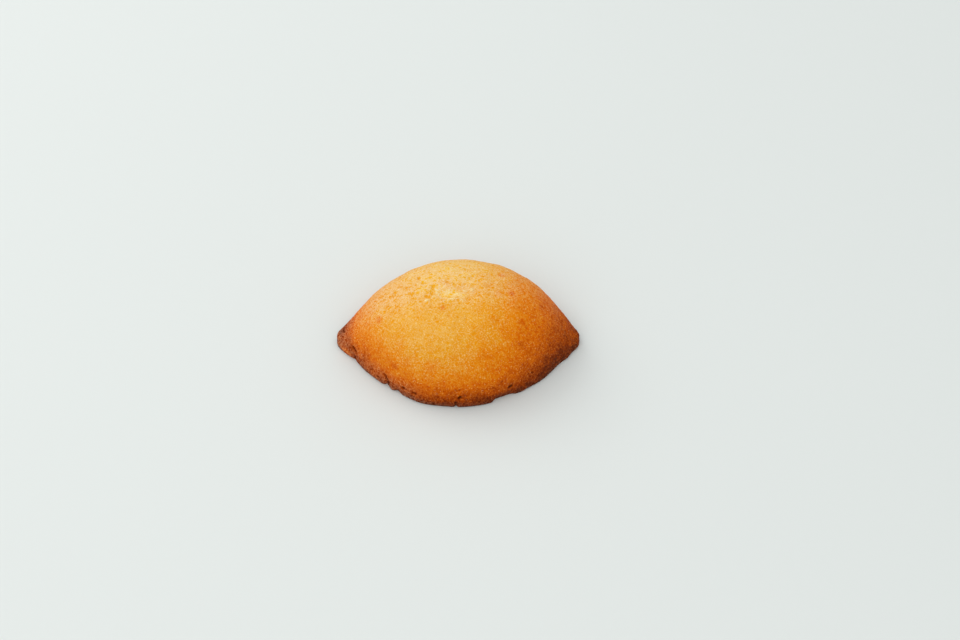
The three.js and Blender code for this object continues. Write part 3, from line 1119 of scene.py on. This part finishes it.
class LemonCakeColours(bpy.types.PropertyGroup):
    """The colours of the cake, the floor and the light from all round"""

    crumb: a_colour("Crumb", "Bare crumb where the skin came away", "#f2c766")
    straw: a_colour("Straw", "Barely baked skin", "#eaaf4a")
    golden: a_colour("Golden", "Lightly baked skin", "#e69c24")
    honey: a_colour("Honey", "Well baked skin", "#e3840a")
    amber: a_colour("Amber", "Deeply baked skin", "#d46705")
    caramel: a_colour("Caramel", "Skin near the rim", "#b04b03")
    brown: a_colour("Brown", "The rim and the nubs", "#7c2f09")
    char: a_colour("Char", "The darkest edge", "#58220e")
    # Painted sheen: the colour of the pale veil that stands in for the reflection of the light.
    film: a_colour("Film", "Painted film on the skin", "#eac6a4")
    # Also the colour of the pale specks, which are painted glints.
    grain: a_colour("Grain", "Pale grains of crumb", "#f6e2a8")
    # Painted shade: the deeper colour of gaps, pores and hollows, where light has met the crumb more
    # than once.
    gap: a_colour("Gap", "What the gaps multiply the skin's colour by", "#fdec55")
    floor: a_colour("Floor", "The pale floor", "#dce0de")
    air: a_colour("Air", "The light from all round", "#fcfefe")


class LemonCakeStage(bpy.types.PropertyGroup):
    """The camera and the strengths of the lights"""

    lens: a_number("Lens", "Focal length in millimetres", 85.01, unit="CAMERA")
    pitch: a_number(
        "Pitch", "How steeply the camera looks down", math.radians(51.6), subtype="ANGLE"
    )
    distance: a_length("Distance", "From the camera to the cake", 758.2)
    window: a_number("Window", "Power of the light at the left and behind", 2.6, unit="POWER")
    reflector: a_number("Reflector", "Power of the wide light in front and above", 2.6, unit="POWER")
    room: a_number("Room", "Strength of the light from all round", 0.88, subtype="FACTOR")


class LEMONCAKE_OT_bake_sponge(bpy.types.Operator):
    """Make the cake's surface with its relief and browning, and put it in the solid's place"""

    bl_idname = "lemon_cake.bake_sponge"
    bl_label = "Bake the sponge"

    def execute(self, context):
        scene = context.scene
        shape, texture = scene.lemon_cake_shape, scene.lemon_cake_crumb
        form = Form(*(getattr(shape, field) / MM for field in Form._fields))
        crumb = Crumb(texture.grain / MM, texture.relief / MM, texture.pore / MM, texture.seed)
        points, fields = cake_surface(form, crumb)
        sponge = add_object("sponge", closed_mesh("sponge", points, fields))
        sponge.data.materials.append(sponge_material(scene.lemon_cake_colours))
        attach(sponge, BODY)
        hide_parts(SOLID)
        return {"FINISHED"}


class LEMONCAKE_OT_set_stage(bpy.types.Operator):
    """Add the pale floor, the soft lights and the camera"""

    bl_idname = "lemon_cake.set_stage"
    bl_label = "Set the stage"

    def execute(self, context):
        scene = context.scene
        stage, colours = scene.lemon_cake_stage, scene.lemon_cake_colours
        floor = add_object("floor", floor_mesh())
        floor.data.materials.append(board_material(colours))
        for lamp in LAMPS:
            area_light(lamp, getattr(stage, lamp.name))
        world = bpy.data.worlds.new("room_light")
        world.use_nodes = True
        background = world.node_tree.nodes["Background"]
        background.inputs["Color"].default_value = (*colours.air, 1)
        background.inputs["Strength"].default_value = stage.room
        scene.world = world
        scene.view_settings.view_transform = "Standard"
        place_camera(stage)
        return {"FINISHED"}


class LEMONCAKE_PT_sidebar(bpy.types.Panel):
    """Lists the cake's sizes, texture, colours and stage, with the buttons that make them"""

    bl_label = "Lemon cake"
    bl_idname = "LEMONCAKE_PT_sidebar"
    bl_space_type = "VIEW_3D"
    bl_region_type = "UI"
    bl_category = "Lemon cake"

    def draw(self, context):
        for settings, operator in PANEL_ROWS:
            box = self.layout.box()
            for group_name in settings:
                group = getattr(context.scene, group_name)
                for name in group.__annotations__:
                    box.prop(group, name)
            box.operator(operator)


PANEL_ROWS = [
    (("lemon_cake_shape", "lemon_cake_crumb", "lemon_cake_colours"), "lemon_cake.bake_sponge"),
    (("lemon_cake_stage",), "lemon_cake.set_stage"),
]
GROUPS = {
    "lemon_cake_shape": LemonCakeShape,
    "lemon_cake_crumb": LemonCakeCrumb,
    "lemon_cake_colours": LemonCakeColours,
    "lemon_cake_stage": LemonCakeStage,
}
CLASSES = (*GROUPS.values(), LEMONCAKE_OT_bake_sponge, LEMONCAKE_OT_set_stage, LEMONCAKE_PT_sidebar)


def register():
    for cls in CLASSES:
        bpy.utils.register_class(cls)
    for name, group in GROUPS.items():
        setattr(bpy.types.Scene, name, bpy.props.PointerProperty(type=group))


def unregister():
    for name in GROUPS:
        delattr(bpy.types.Scene, name)
    for cls in reversed(CLASSES):
        bpy.utils.unregister_class(cls)


def main():
    register()
    bpy.ops.lemon_cake.bake_sponge()
    bpy.ops.lemon_cake.set_stage()


if __name__ == "__main__":
    main()
